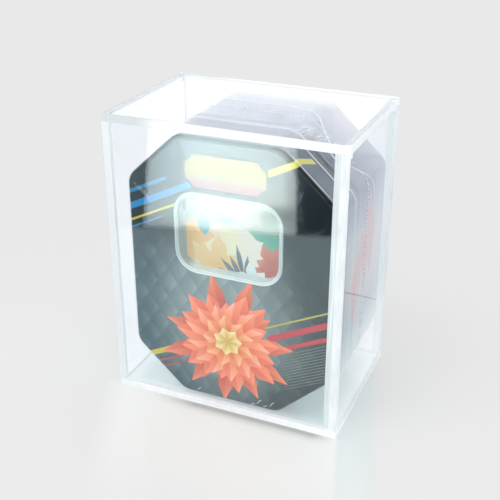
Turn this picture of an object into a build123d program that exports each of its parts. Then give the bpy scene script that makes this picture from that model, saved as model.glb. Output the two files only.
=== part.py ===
from build123d import *
import os

# Magnetic acrylic display case with the sealed octagonal card tin that it shows.
# Millimetres, +Z up, the front of the case towards -Y. The origin is the centre
# of the footprint, on the surface that the case stands on.
# Lengths that run through a wall or a stack are counted from the front (-Y) to the back.

# ---- the tin: drawn tinplate, lid in front, base behind ----
TIN_W = 133.0           # overall width
TIN_H = 177.0           # overall height
TIN_D = 88.0            # front face to back
CHAMFER_W = 33.5        # width taken off each corner of the octagon
CHAMFER_H = 31.0        # height taken off each corner
CORNER_R = 12.0         # rounding of the octagon's eight corners
TINPLATE = 0.3          # sheet thickness
FACE_R = 1.6            # rounding from the lid's face to its skirt
BACK_R = 2.5            # rounding from the base's back to its wall
SKIRT = 29.0            # depth of the lid
CURL_W = 1.0            # rolled edge of the lid, along the depth
CURL_PROUD = 0.4        # how far the roll stands out from both walls
NECK = 9.0              # how far the base's neck reaches into the lid
NECK_FIT = 0.15         # clearance between neck and skirt

# ---- the window in the tin's lid ----
WINDOW_W = 71.0         # outside of the frame's bead
WINDOW_H = 54.0
WINDOW_R = 15.0
WINDOW_UP = 27.5        # above the tin's centre
BEAD_LAP = 1.0          # how far the bead covers the edge of the opening
BEAD_PROUD = 0.8        # how far the bead stands out of the face
FRAME_WALL = 1.7        # the frame, inside the opening
FRAME_DEPTH = 1.3       # behind the tin's face
FRAME_FIT = 0.1
PANE_T = 0.4
PANE_LAP = 0.9          # rebate that the pane lies in, across
PANE_SEAT = 0.9         # and its depth
PANE_FIT = 0.1

# ---- what is packed in the tin ----
CARD_W = 63.0
CARD_H = 88.0
CARD_T = 0.35
CARD_CORNER_R = 3.0
CARD_DOWN = 12.0        # card's middle below the window's, so that its picture shows
CARD_SETBACK = 5.7      # length of the bezel's tunnel, from the frame to its plate
BEZEL_T = 0.8
RISER_WALL = 0.5
RISER_MARGIN = 3.0      # riser's side beyond the tray's well, all round
RISER_FLANGE = 5.0
TRAY_WALL = 0.5
TRAY_FIT = 0.4          # tray, bezel and riser inside the tin's walls
TRAY_LIFT = 3.4         # tray's well above the tin's bottom, clear of its round corners
PACK_W = 65.0
PACK_H = 118.0
PACK_T = 8.0
PACK_CRIMP = 7.0        # flat sealed strip at each end of a pack
PACK_FOIL = 0.4
PACK_R = 3.0
PACKS = 5
PACK_FIT = 0.6          # room for the packs in the well

# ---- the shrink film round the tin ----
FILM_T = 0.1
FILM_SEAM_Y = 60.5      # seam behind the tin's face
SEAM_W = 1.2
SEAM_PROUD = 0.5

# ---- the case: clear cast acrylic sheet, edges polished, glued butt joints ----
SHEET_T = 5.0
ROOM_SIDES = 10.0       # both side gaps together
TIN_SHIFT = 2.7         # the tin stands this far right of the middle
ROOM_FRONT = 1.8
ROOM_BACK = 2.2
HEADROOM = 2.9
ARRIS = 0.35            # bevel on the edges that a hand can touch

# ---- magnets: nickel-plated discs in blind holes at the four top corners ----
MAGNET_D = 3.0
MAGNET_T = 3.0
MAGNET_FIT = 0.05       # radial room for the glue
MAGNET_RECESS = 0.1     # below the face of the sheet
MAGNET_INSET_Y = 5.0    # from the case's front or back to the disc's middle

# ---- sizes that follow ----
CASE_W = TIN_W + ROOM_SIDES + 2 * SHEET_T
CASE_D = TIN_D + ROOM_FRONT + ROOM_BACK + 2 * SHEET_T
WALL_TOP = SHEET_T + FILM_T + TIN_H + HEADROOM
CASE_H = WALL_TOP + SHEET_T
TIN_FRONT = -CASE_D / 2 + SHEET_T + ROOM_FRONT
TIN_BACK = TIN_FRONT + TIN_D
TIN_Z = SHEET_T + FILM_T + TIN_H / 2
LID_EDGE = TIN_FRONT + SKIRT
WINDOW_Z = TIN_Z + WINDOW_UP
INNER_INSET = CURL_PROUD + TINPLATE
NECK_INSET = INNER_INSET + NECK_FIT
FRAME_BACK = TIN_FRONT + FRAME_DEPTH
BEZEL_FRONT = FRAME_BACK + CARD_SETBACK
CARD_FRONT = BEZEL_FRONT + BEZEL_T
CARD_BACK = CARD_FRONT + CARD_T
WELL_BACK = TIN_BACK - TINPLATE
WELL_W = PACK_W + PACK_FIT
WELL_H = PACK_H + PACK_FIT
WELL_D = PACKS * PACK_T + CARD_T + PACK_FIT
TRAY_FRONT = WELL_BACK - TRAY_WALL - WELL_D
WELL_FLOOR = TIN_Z - TIN_H / 2 + INNER_INSET + TRAY_LIFT + TRAY_WALL
WELL_Z = WELL_FLOOR + WELL_H / 2
LINER_INSET = NECK_INSET + TINPLATE + TRAY_FIT


def prism(outline, front, back, x=0.0, z=0.0):
    """A flat outline in X and Z, drawn out from y = front to y = back."""
    plane = Plane(origin=(x, back, z), x_dir=(1, 0, 0), z_dir=(0, -1, 0))
    return extrude(plane * outline, amount=back - front, dir=(0, -1, 0))


def octagon(inset=0.0):
    """The tin's outline, set in from its outside by an even distance."""
    half_w = TIN_W / 2
    half_h = TIN_H / 2
    flat_w = half_w - CHAMFER_W
    flat_h = half_h - CHAMFER_H
    corners = [
        (flat_w, half_h), (half_w, flat_h), (half_w, -flat_h), (flat_w, -half_h),
        (-flat_w, -half_h), (-half_w, -flat_h), (-half_w, flat_h), (-flat_w, half_h),
    ]
    shape = Polygon(*corners, align=None)
    shape = fillet(shape.vertices(), CORNER_R)
    if inset:
        shape = offset(shape, amount=-inset)
    return shape


def tin_prism(inset, front, back):
    return prism(octagon(inset), front, back, x=TIN_SHIFT, z=TIN_Z)


def window_prism(inset, front, back):
    """A rounded rectangle, set in from the outside of the window's bead."""
    shape = RectangleRounded(WINDOW_W - 2 * inset, WINDOW_H - 2 * inset, WINDOW_R - inset)
    return prism(shape, front, back, x=TIN_SHIFT, z=WINDOW_Z)


def well_prism(margin, front, back):
    """The rectangle of the packs' well, grown by a margin on all sides."""
    shape = Rectangle(WELL_W + 2 * margin, WELL_H + 2 * margin)
    return prism(shape, front, back, x=TIN_SHIFT, z=WELL_Z)


def card_prism(margin, front, back, z):
    shape = RectangleRounded(CARD_W + 2 * margin, CARD_H + 2 * margin, CARD_CORNER_R + margin)
    return prism(shape, front, back, x=TIN_SHIFT, z=z)


def edges_at(shape, axis, value):
    """The edges that lie in the plane where one coordinate has this value."""
    return shape.edges().filter_by_position(axis, value - 0.01, value + 0.01)


# ---- the case ----

def sheet(x0, x1, y0, y1, z0, z1):
    return Pos((x0 + x1) / 2, (y0 + y1) / 2, (z0 + z1) / 2) * Box(x1 - x0, y1 - y0, z1 - z0)


def full_sheet(z0):
    """A sheet over the whole footprint, its corners and both rims bevelled."""
    plate = sheet(-CASE_W / 2, CASE_W / 2, -CASE_D / 2, CASE_D / 2, z0, z0 + SHEET_T)
    return chamfer(plate.edges(), ARRIS)


def magnet_places():
    x = (CASE_W - SHEET_T) / 2
    y = CASE_D / 2 - MAGNET_INSET_Y
    return [(sx * x, sy * y) for sx in (-1, 1) for sy in (-1, 1)]


def discs(radius, z0, z1):
    """One upright cylinder at each magnet's place."""
    middle = (z0 + z1) / 2
    return Part() + [Pos(x, y, middle) * Cylinder(radius, z1 - z0) for x, y in magnet_places()]


def pockets(z0, z1):
    return discs(MAGNET_D / 2 + MAGNET_FIT, z0, z1)


def base_panel():
    return full_sheet(0.0)


def lid_panel():
    return full_sheet(WALL_TOP) - pockets(WALL_TOP, WALL_TOP + MAGNET_RECESS + MAGNET_T)


def side_panel(side):
    """Left (-1) or right (+1) wall: full depth, so its edges show at the front and the back."""
    inner = side * (CASE_W / 2 - SHEET_T)
    outer = side * CASE_W / 2
    x0, x1 = sorted((inner, outer))
    wall = sheet(x0, x1, -CASE_D / 2, CASE_D / 2, SHEET_T, WALL_TOP)
    upright = edges_at(wall, Axis.X, outer).filter_by(Axis.Z)
    wall = chamfer(upright, ARRIS)
    return wall - pockets(WALL_TOP - MAGNET_RECESS - MAGNET_T, WALL_TOP)


def end_panel(side):
    """Front (-1) or back (+1) wall, glued in between the side walls."""
    inner = side * (CASE_D / 2 - SHEET_T)
    outer = side * CASE_D / 2
    y0, y1 = sorted((inner, outer))
    half_w = CASE_W / 2 - SHEET_T
    return sheet(-half_w, half_w, y0, y1, SHEET_T, WALL_TOP)


def wall_magnets():
    top = WALL_TOP - MAGNET_RECESS
    return discs(MAGNET_D / 2, top - MAGNET_T, top)


def lid_magnets():
    bottom = WALL_TOP + MAGNET_RECESS
    return discs(MAGNET_D / 2, bottom, bottom + MAGNET_T)


# ---- the tin ----

def tin_lid():
    """Face and skirt in one drawing, the skirt's edge rolled outwards to the full outline."""
    body = tin_prism(CURL_PROUD, TIN_FRONT, LID_EDGE)
    body = fillet(edges_at(body, Axis.Y, TIN_FRONT), FACE_R)
    curl = tin_prism(0.0, LID_EDGE - CURL_W, LID_EDGE)
    curl = fillet(edges_at(curl, Axis.Y, LID_EDGE - CURL_W), CURL_PROUD * 0.9)
    curl = fillet(edges_at(curl, Axis.Y, LID_EDGE), CURL_PROUD * 0.9)
    hollow = tin_prism(INNER_INSET, TIN_FRONT + TINPLATE, LID_EDGE)
    hollow = fillet(edges_at(hollow, Axis.Y, TIN_FRONT + TINPLATE), FACE_R - TINPLATE)
    opening = window_prism(BEAD_LAP, TIN_FRONT, TIN_FRONT + TINPLATE)
    return body + curl - hollow - opening


def tin_base():
    """Back and wall in one drawing, with a set-in neck that the lid slides over."""
    body = tin_prism(CURL_PROUD, LID_EDGE, TIN_BACK)
    body = fillet(edges_at(body, Axis.Y, TIN_BACK), BACK_R)
    neck = tin_prism(NECK_INSET, LID_EDGE - NECK, LID_EDGE)
    hollow = tin_prism(INNER_INSET, LID_EDGE + TINPLATE, TIN_BACK - TINPLATE)
    hollow = fillet(edges_at(hollow, Axis.Y, TIN_BACK - TINPLATE), BACK_R - TINPLATE)
    throat = tin_prism(NECK_INSET + TINPLATE, LID_EDGE - NECK, LID_EDGE + TINPLATE)
    return body + neck - hollow - throat


def window_frame():
    """Moulded clear frame: a round bead over the opening's edge and a rebate for the pane."""
    bead = window_prism(0.0, TIN_FRONT - BEAD_PROUD, TIN_FRONT)
    bead = fillet(edges_at(bead, Axis.Y, TIN_FRONT - BEAD_PROUD), BEAD_PROUD * 0.7)
    body = window_prism(BEAD_LAP + FRAME_FIT, TIN_FRONT, FRAME_BACK)
    hole = window_prism(BEAD_LAP + FRAME_WALL, TIN_FRONT - BEAD_PROUD, FRAME_BACK)
    rebate = window_prism(BEAD_LAP + FRAME_WALL - PANE_LAP, FRAME_BACK - PANE_SEAT, FRAME_BACK)
    return bead + body - hole - rebate


def window_pane():
    inset = BEAD_LAP + FRAME_WALL - PANE_LAP + PANE_FIT
    front = FRAME_BACK - PANE_SEAT
    return window_prism(inset, front, front + PANE_T)


# ---- inside the tin ----

def card_bezel():
    """White plate across the lid, with a tunnel from the window back to the card."""
    tunnel_wall = FRAME_WALL - PANE_LAP - FRAME_FIT
    plate = tin_prism(LINER_INSET, BEZEL_FRONT, CARD_FRONT)
    tunnel = window_prism(BEAD_LAP + FRAME_FIT, FRAME_BACK, BEZEL_FRONT)
    hole = window_prism(BEAD_LAP + FRAME_FIT + tunnel_wall, FRAME_BACK, CARD_FRONT)
    return plate + tunnel - hole


def display_card():
    return card_prism(0.0, CARD_FRONT, CARD_BACK, WINDOW_Z - CARD_DOWN)


def card_riser():
    """Formed spacer from the tray to the bezel, with a shallow pocket for the card."""
    foot = TRAY_FRONT - RISER_WALL
    body = well_prism(RISER_MARGIN, CARD_FRONT, TRAY_FRONT)
    flange = well_prism(RISER_MARGIN + RISER_FLANGE, foot, TRAY_FRONT)
    shape = (body + flange) & tin_prism(LINER_INSET, CARD_FRONT, TRAY_FRONT)
    hollow = well_prism(RISER_MARGIN - RISER_WALL, CARD_BACK + RISER_WALL, TRAY_FRONT)
    hollow &= tin_prism(LINER_INSET + RISER_WALL, CARD_BACK + RISER_WALL, TRAY_FRONT)
    pocket = card_prism(TRAY_FIT, CARD_FRONT, CARD_BACK, WINDOW_Z - CARD_DOWN)
    return shape - hollow - pocket


def pack_tray():
    """Formed tray: an eight-sided flange and a well as deep as the row of packs."""
    flange = tin_prism(LINER_INSET, TRAY_FRONT, TRAY_FRONT + TRAY_WALL)
    well = well_prism(TRAY_WALL, TRAY_FRONT, WELL_BACK)
    hollow = well_prism(0.0, TRAY_FRONT, WELL_BACK - TRAY_WALL)
    return flange + well - hollow


def booster_pack(index):
    """Pillow of foil with a flat crimped strip at each end, standing in the well."""
    back = WELL_BACK - TRAY_WALL - index * PACK_T
    middle = back - PACK_T / 2
    z = WELL_FLOOR + PACK_H / 2
    pillow = Rectangle(PACK_W, PACK_H - 2 * PACK_CRIMP)
    body = prism(pillow, back - PACK_T, back, x=TIN_SHIFT, z=z)
    body = fillet(body.edges().filter_by(Axis.Y, reverse=True), PACK_R)
    strip = Rectangle(PACK_W, PACK_H)
    return body + prism(strip, middle - PACK_FOIL / 2, middle + PACK_FOIL / 2, x=TIN_SHIFT, z=z)


def info_card():
    """Loose card in front of the packs, standing on the well's floor."""
    back = WELL_BACK - TRAY_WALL - PACKS * PACK_T
    return card_prism(0.0, back - CARD_T, back, WELL_FLOOR + CARD_H / 2)


# ---- round the tin ----

def shrink_film():
    """Thin skin over the whole tin and its window bead, with a welded seam round the side."""
    front = TIN_FRONT - BEAD_PROUD
    outer = tin_prism(-FILM_T, front - FILM_T, TIN_BACK + FILM_T)
    outer = fillet(edges_at(outer, Axis.Y, front - FILM_T), FACE_R + FILM_T)
    inner = tin_prism(0.0, front, TIN_BACK)
    inner = fillet(edges_at(inner, Axis.Y, front), FACE_R)
    seam_y = TIN_FRONT + FILM_SEAM_Y
    seam = tin_prism(-FILM_T - SEAM_PROUD, seam_y - SEAM_W / 2, seam_y + SEAM_W / 2)
    foot = sheet(-CASE_W / 2, CASE_W / 2, -CASE_D / 2, CASE_D / 2, 0.0, SHEET_T)
    return outer + (seam - foot) - inner


# ---- write one file for each piece ----

PIECES = {
    "base_panel": base_panel(),
    "front_panel": end_panel(-1),
    "back_panel": end_panel(1),
    "left_panel": side_panel(-1),
    "right_panel": side_panel(1),
    "wall_magnets": wall_magnets(),
    "lid_panel": lid_panel(),
    "lid_magnets": lid_magnets(),
    "tin_lid": tin_lid(),
    "tin_base": tin_base(),
    "window_frame": window_frame(),
    "window_pane": window_pane(),
    "card_bezel": card_bezel(),
    "display_card": display_card(),
    "card_riser": card_riser(),
    "pack_tray": pack_tray(),
    "info_card": info_card(),
    "shrink_film": shrink_film(),
}
for number in range(PACKS):
    PIECES[f"booster_pack_{number + 1}"] = booster_pack(number)

os.makedirs("parts", exist_ok=True)
for name, piece in PIECES.items():
    export_step(Compound(children=piece.solids()), f"parts/{name}.step")
print("case", CASE_W, "x", CASE_D, "x", round(CASE_H, 3), "mm,", len(PIECES), "nodes")
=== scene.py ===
# %% [markdown]
# # A clear display case with a sealed card tin in it
#
# The real object is a box of 5 mm cast acrylic with a lift-off lid, and a printed eight-sided tin inside
# it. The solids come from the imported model, already in place and in metres. This lesson gives each of them
# its finish, and adds what is too soft or too fine for the solids: the shrink film, its weld and its
# perforations.

import math
import random

import bmesh
import bpy
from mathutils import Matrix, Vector


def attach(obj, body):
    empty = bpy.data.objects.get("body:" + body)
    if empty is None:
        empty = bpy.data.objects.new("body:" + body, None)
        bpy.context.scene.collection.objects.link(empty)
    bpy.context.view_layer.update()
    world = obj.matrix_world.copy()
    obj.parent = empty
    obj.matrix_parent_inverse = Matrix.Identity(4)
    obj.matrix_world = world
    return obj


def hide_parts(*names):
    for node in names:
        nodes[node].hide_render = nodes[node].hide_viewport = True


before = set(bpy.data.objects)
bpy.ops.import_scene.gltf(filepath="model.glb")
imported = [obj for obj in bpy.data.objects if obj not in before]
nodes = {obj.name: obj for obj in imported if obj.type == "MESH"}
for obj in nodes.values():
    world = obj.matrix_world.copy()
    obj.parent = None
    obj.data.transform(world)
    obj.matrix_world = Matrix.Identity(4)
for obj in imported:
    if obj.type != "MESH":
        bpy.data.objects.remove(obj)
MM = 0.001
scene = bpy.context.scene


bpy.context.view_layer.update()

# %% [markdown]
# ## The camera
#
# The case is looked at from the front, a little from its right and from above, at about the height of a
# seated person's eyes. The camera is placed by its heading, its height angle and its distance from a point
# inside the case, because those three are easier to judge than a position in metres.

# %% Place the camera
HEADING = math.radians(23.27)
HEIGHT_ANGLE = math.radians(25.83)
DISTANCE = 569 * MM
AIM = Vector((-2.9, 0, 92.2)) * MM
LENS_MM = 62.8

level, up = math.cos(HEIGHT_ANGLE), math.sin(HEIGHT_ANGLE)
towards_camera = Vector((math.sin(HEADING) * level, -math.cos(HEADING) * level, up))
camera = bpy.data.objects.new("camera", bpy.data.cameras.new("camera"))
camera.data.lens = LENS_MM
camera.data.sensor_width = 36
camera.data.clip_start = 0.01
camera.location = AIM + towards_camera * DISTANCE
camera.rotation_mode = "QUATERNION"
camera.rotation_quaternion = (-towards_camera).to_track_quat("-Z", "Y")
scene.collection.objects.link(camera)
scene.camera = camera
scene.view_settings.view_transform = "Standard"
print("camera at", [round(c, 3) for c in camera.location])

# %% [markdown]
# ## Helpers for materials and pieces
#
# Colours are written as a designer writes them, in sRGB hex, and one function turns them into the linear
# values that a shader wants. One other function adds a node to the tree in hand, sets it and links it, so
# that each material below reads as a list of steps. Patterns are made of masks: a mask is 1 where a colour
# goes and 0 elsewhere.


# %% Colour and node helpers
def rgb(code):
    """Linear colour with alpha from an sRGB hex code."""
    parts = [int(code[i : i + 2], 16) / 255 for i in (0, 2, 4)]
    linear = [p / 12.92 if p <= 0.04045 else ((p + 0.055) / 1.055) ** 2.4 for p in parts]
    return (*linear, 1)


tree = None  # the node tree in hand


def work_on(node_tree):
    """Empties a node tree, and makes it the one that nodes are added to from here on."""
    global tree
    tree = node_tree
    tree.nodes.clear()


def add(kind, inputs=(), operation=None, out=0, **settings):
    """Adds a node with its settings and its inputs, by name or in order; gives one output, or the node."""
    prefix = "" if kind.startswith(("Geometry", "Function", "NodeGroup")) else "ShaderNode"
    node = tree.nodes.new(prefix + kind)
    if operation:
        node.operation = operation
    for name, value in settings.items():
        setattr(node, name, value)
    for name, value in inputs.items() if isinstance(inputs, dict) else enumerate(inputs):
        socket = node.inputs[name]
        if isinstance(value, bpy.types.NodeSocket):
            tree.links.new(value, socket)
        else:
            socket.default_value = rgb(value) if socket.type == "RGBA" else value
    return node if out is None else node.outputs[out]


# %% Materials, colours and masks
def new_material(name):
    """An empty node material, to which nodes are now added."""
    material = bpy.data.materials.new(name)
    material.use_nodes = True
    work_on(material.node_tree)
    return material


def finished(material, surface):
    """The material with this shader as its surface."""
    add("OutputMaterial", {"Surface": surface}, out=None)
    return material


def ramp(factor, *stops):
    """A colour that changes along factor; stops are (place, hex) pairs."""
    node = add("ValToRGB", {"Fac": factor}, out=None)
    while len(node.color_ramp.elements) < len(stops):
        node.color_ramp.elements.new(0.5)
    for element, (place, code) in zip(node.color_ramp.elements, stops):
        element.position = place
        element.color = rgb(code)
    return node.outputs[0]


def paint(under, over, mask):
    """Lays one colour over another where the mask is 1."""
    return add("Mix", {"Factor": mask, 6: under, 7: over}, out=2, data_type="RGBA")


def both(a, b):
    """The part where two masks meet."""
    return add("Math", [a, b], "MULTIPLY")


def aside(value, centre=0):
    """How far a value is from a centre, on either side of it."""
    return add("Math", [add("Math", [value, centre], "SUBTRACT")], "ABSOLUTE")


def band(value, centre, half, soft=0.15):
    """1 within half a width of the centre and 0 outside, with a soft edge."""
    return add("MapRange", [aside(value, centre), half - soft, half + soft, 1, 0])


# %% Places, and light that passes
def millimetres(centre=(0, 0, 0)):
    """Object coordinates in millimetres from a centre, as a vector and as its three parts."""
    place = add("TexCoord", out="Object")
    centred = {"Vector": place, "Location": [-c for c in centre], "Scale": (1 / MM, 1 / MM, 1 / MM)}
    place = add("Mapping", centred)
    return (place, *add("SeparateXYZ", [place], out=None).outputs)


def open_to_lamps(body, clear):
    """The body for what is seen, and a clear pass for shadow rays and diffuse rays."""
    path = add("LightPath", out=None).outputs
    for kind in ("Is Shadow Ray", "Is Diffuse Ray"):
        body = add("MixShader", [path[kind], body, clear])
    return body


# %% Dressing and placing pieces
def dress(material, *names):
    """Gives CAD nodes their material; their meshes stay as packed."""
    for name in names:
        for slot in nodes[name].material_slots:
            slot.material = material
    print(material.name, "->", ", ".join(names))


def placed(name, data, *materials):
    """Puts data into the scene as an object, with its materials."""
    piece = bpy.data.objects.new(name, data)
    scene.collection.objects.link(piece)
    for material in materials:
        data.materials.append(material)
    return piece


def skinned(name, mesh, material):
    """Puts a mesh in progress into the scene, with its faces turned outwards."""
    bmesh.ops.recalc_face_normals(mesh, faces=mesh.faces)
    data = bpy.data.meshes.new(name)
    mesh.to_mesh(data)
    mesh.free()
    return placed(name, data, material)


# %% [markdown]
# ## Cast acrylic
#
# The panels are cut from cast acrylic sheet with polished faces, so they are clear glass to the renderer,
# with an IOR of 1.49. Their cut edges are only fine-milled, which leaves faint lines across them and a
# satin white that catches all the light inside the sheet. That is why the edges are the brightest part of
# such a case. The edges are found by their normals: each panel has one thickness axis, and a face that
# looks another way is an edge or the wall of a magnet's hole. Lamps can't be followed through clear glass
# in few samples, so shadow and diffuse rays pass a plain transparent shader instead.


# %% Cast acrylic
ACRYLIC_IOR = 1.49


def acrylic(part, axis, grey, streak, white, painted_shade_span=(-76, -52)):
    """Clear sheet; its edges carry painted shade, grey at the left, and run to streaky white between two
    places.
    """
    material = new_material(f"cast_acrylic_{part}")
    place, x, _, _ = millimetres()
    facing = add("SeparateXYZ", [add("NewGeometry", out="True Normal")], out=axis)
    edge = add("Math", [aside(facing), 0.9], "LESS_THAN")
    glass = add("BsdfPrincipled", {
        "Base Color": "FDFEFF", "Roughness": 0.004, "IOR": ACRYLIC_IOR, "Transmission Weight": 1,
    })
    # milling lines 4 mm apart; the real ones are under 1 mm, too fine to show
    streaks = add("Mapping", {"Vector": place, "Scale": (1, 1, 0.3)})
    milling = add("TexNoise", {"Vector": streaks, "Scale": 0.25, "Detail": 2})
    milled = ramp(milling, (0.3, streak), (0.6, white))
    # painted shade: the edges are greyer at the left, turning to streaky white along x
    tone = paint(grey, milled, add("MapRange", [x, *painted_shade_span]))
    satin = add("BsdfPrincipled", {"Base Color": tone, "Roughness": 0.22, "IOR": ACRYLIC_IOR})
    cut = add("MixShader", [0.3, satin, add("BsdfTranslucent", {"Color": "FBFDFF"})])
    body = add("MixShader", [both(edge, 0.97), glass, cut])
    clear = add("BsdfTransparent", {"Color": "FDFEFE"})
    return finished(material, open_to_lamps(body, clear))


# Painted shade: each panel's edges get their own greys, darkest on the lid's left, and greyer on the side
# panels than on the ends
dress(acrylic("base", "Z", "E2E9EA", "F7FAFB", "FFFFFF"), "base_panel")
dress(acrylic("lid", "Z", "C2C9CA", "F7FAFB", "FFFFFF", painted_shade_span=(-52, -34)), "lid_panel")
dress(acrylic("ends", "Y", "F7FAFB", "F7FAFB", "FFFFFF"), "front_panel", "back_panel")
dress(acrylic("sides", "X", "DCE2E5", "DAE1E3", "ECF1F3"), "left_panel", "right_panel")

# %% [markdown]
# ## Cement in the upright joints
#
# Solvent cement has crept a few millimetres out of the two upright joints on the right, inside the case. It
# dries as a thin satin film with fine vertical streaks, which reads as a second, paler band by the corner.


# %% Cement
def cement(material):
    """Two thin upright strips inside the right joints."""
    mesh = bmesh.new()
    for back in (-46, 45.78):
        corners = [
            mesh.verts.new((x * MM, y * MM, z * MM))
            for x in (67.1, 71.45) for y in (back, back + 0.22) for z in (5.05, 184.9)
        ]
        for face in ((0, 1, 3, 2), (4, 6, 7, 5), (0, 4, 5, 1), (2, 3, 7, 6), (0, 2, 6, 4), (1, 5, 7, 3)):
            mesh.faces.new([corners[k] for k in face])
    return skinned("cement_lines", mesh, material)


def cement_material():
    """Dried cement: streaked from top to bottom, and thinner and more lit through at the rear."""
    material = new_material("dried_solvent_cement")
    place, _, y, _ = millimetres()
    # streaks about 1 mm wide and 30 mm long
    drawn = add("Mapping", {"Vector": place, "Scale": (1, 1, 0.03)})
    streak = add("TexNoise", {"Vector": drawn, "Scale": 0.9, "Detail": 2})
    tone = ramp(streak, (0.3, "D6DDDD"), (0.7, "E4E9E9"))
    haze = add("BsdfPrincipled", {"Base Color": tone, "Roughness": 0.3, "IOR": ACRYLIC_IOR})
    rear = add("MapRange", [y, -46, 46, 0, 0.85])
    haze = add("MixShader", [rear, haze, add("BsdfTranslucent", {"Color": "FCFEFE"})])
    clear = add("BsdfTransparent", {"Color": "F8FCFB"})
    share = add("MapRange", [streak, 0.3, 0.7, 0.75, 0.9])
    share = both(share, add("Math", [rear, -0.9, 1], "MULTIPLY_ADD"))
    dried = add("MixShader", [share, clear, haze])
    shadow = add("LightPath", out="Is Shadow Ray")
    return finished(material, add("MixShader", [shadow, dried, clear]))


cement_lines = cement(cement_material())
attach(cement_lines, "case")
print("cement faces:", len(cement_lines.data.polygons))

# %% [markdown]
# ## Nickel-plated magnets
#
# The lid is held by small neodymium discs. They are nickel-plated in a barrel, which leaves a bright metal
# with a fine tumbled grain. Each is set in cement, which lies over it as a white film.


# %% Nickel
def nickel():
    """Barrel-plated nickel under a skin of cement."""
    material = new_material("nickel_plate_barrel")
    place, *_ = millimetres()
    # grain of 0.3 mm; the real one is finer, too fine to show
    grain = add("TexNoise", {"Vector": place, "Scale": 3, "Detail": 3})
    metal = add("BsdfPrincipled", {
        "Base Color": ramp(grain, (0.3, "E4E1DC"), (0.7, "F1EFEB")), "Metallic": 1,
        "Roughness": add("MapRange", [grain, 0, 1, 0.3, 0.45]),
        "Normal": add("Bump", {"Height": grain, "Strength": 0.1, "Distance": 0.00005}),
    })
    cement_over = add("BsdfDiffuse", {"Color": ramp(grain, (0.3, "D9DEDE"), (0.7, "EEF1F1"))})
    return finished(material, add("MixShader", [0.75, metal, cement_over]))


dress(nickel(), "wall_magnets", "lid_magnets")

# %% [markdown]
# ## Lithographed tinplate
#
# The tin is printed flat, varnished and then drawn to shape. The ink is dark and matt under a hard glossy
# varnish, so the shader is a dark base under a clear coat. The print is made of a few generic parts, each
# one worked out in millimetres from the middle of the tin's front: a ground of tone-on-tone diamonds,
# slanting racing stripes, a flower of pointed petals and a plain ticket-shaped plaque.

# %% Sizes of the tin and its print
TIN_X = 2.7
TIN_Z = 93.6
FACE_Y = -44.2
DIAMOND_W = 14
DIAMOND_H = 20
PLAQUE_X = -1.5
PLAQUE_Z = 67.5
# depth behind the face and half width of the painted dark line round the upper chamfers
EDGE_SHADE_LINE = (0.9, 0.8)


def chamfer_line(x, y, z, depth, half):
    """A line round the tin's upper chamfers, some way behind its front face."""
    line = both(band(y, FACE_Y + depth, half, 0.1), band(aside(x), 50, 22, 2))
    return both(line, band(z, 70, 30, 2))


def diamonds(x, z):
    """Tone-on-tone diamonds, each shaded from one corner to the other."""
    wide = add("Math", [x, DIAMOND_W], "DIVIDE")
    high = add("Math", [z, DIAMOND_H], "DIVIDE")
    return both(*(add("Math", [add("Math", [wide, high], way)], "FRACT") for way in ("ADD", "SUBTRACT")))


# %% Petals, for the flower and for leaves
def petals(place, count, reach, half, turn, vary=0):
    """A ring of pointed petals: its mask, which side of the midrib a point is on, and how far out it is."""
    far = add("VectorMath", [place], "LENGTH", out="Value")
    parts = add("SeparateXYZ", [place], out=None).outputs
    angle = add("Math", [parts["Z"], parts["X"]], "ARCTAN2")
    turns = add("Math", [angle, count / (2 * math.pi), turn + count], "MULTIPLY_ADD")
    index = add("Math", [turns], "FLOOR")
    index = add("Math", [index, count], "MODULO")
    chance = add("TexWhiteNoise", {"W": index}, noise_dimensions="1D")
    length = add("MapRange", [chance, 0, 1, reach * (1 - vary), reach])
    along = add("Math", [far, length], "DIVIDE")
    local = add("Math", [add("Math", [turns], "FRACT"), 0.5], "SUBTRACT")
    across = both(both(local, far), 2 * math.pi / count)
    side = add("Math", [across, 0], "GREATER_THAN")
    profile = add("FloatCurve", {"Value": along}, out=None)
    points = profile.mapping.curves[0].points
    points[0].location = (0, 0.10)
    points[1].location = (1, 0)
    for place_along, share in ((0.35, 0.62), (0.62, 1), (0.85, 0.45)):
        points.new(place_along, share)
    profile.mapping.update()
    width = both(profile.outputs[0], half)
    room = add("Math", [width, aside(across)], "SUBTRACT")
    return add("MapRange", [room, -0.05, 0.15]), side, along


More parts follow.
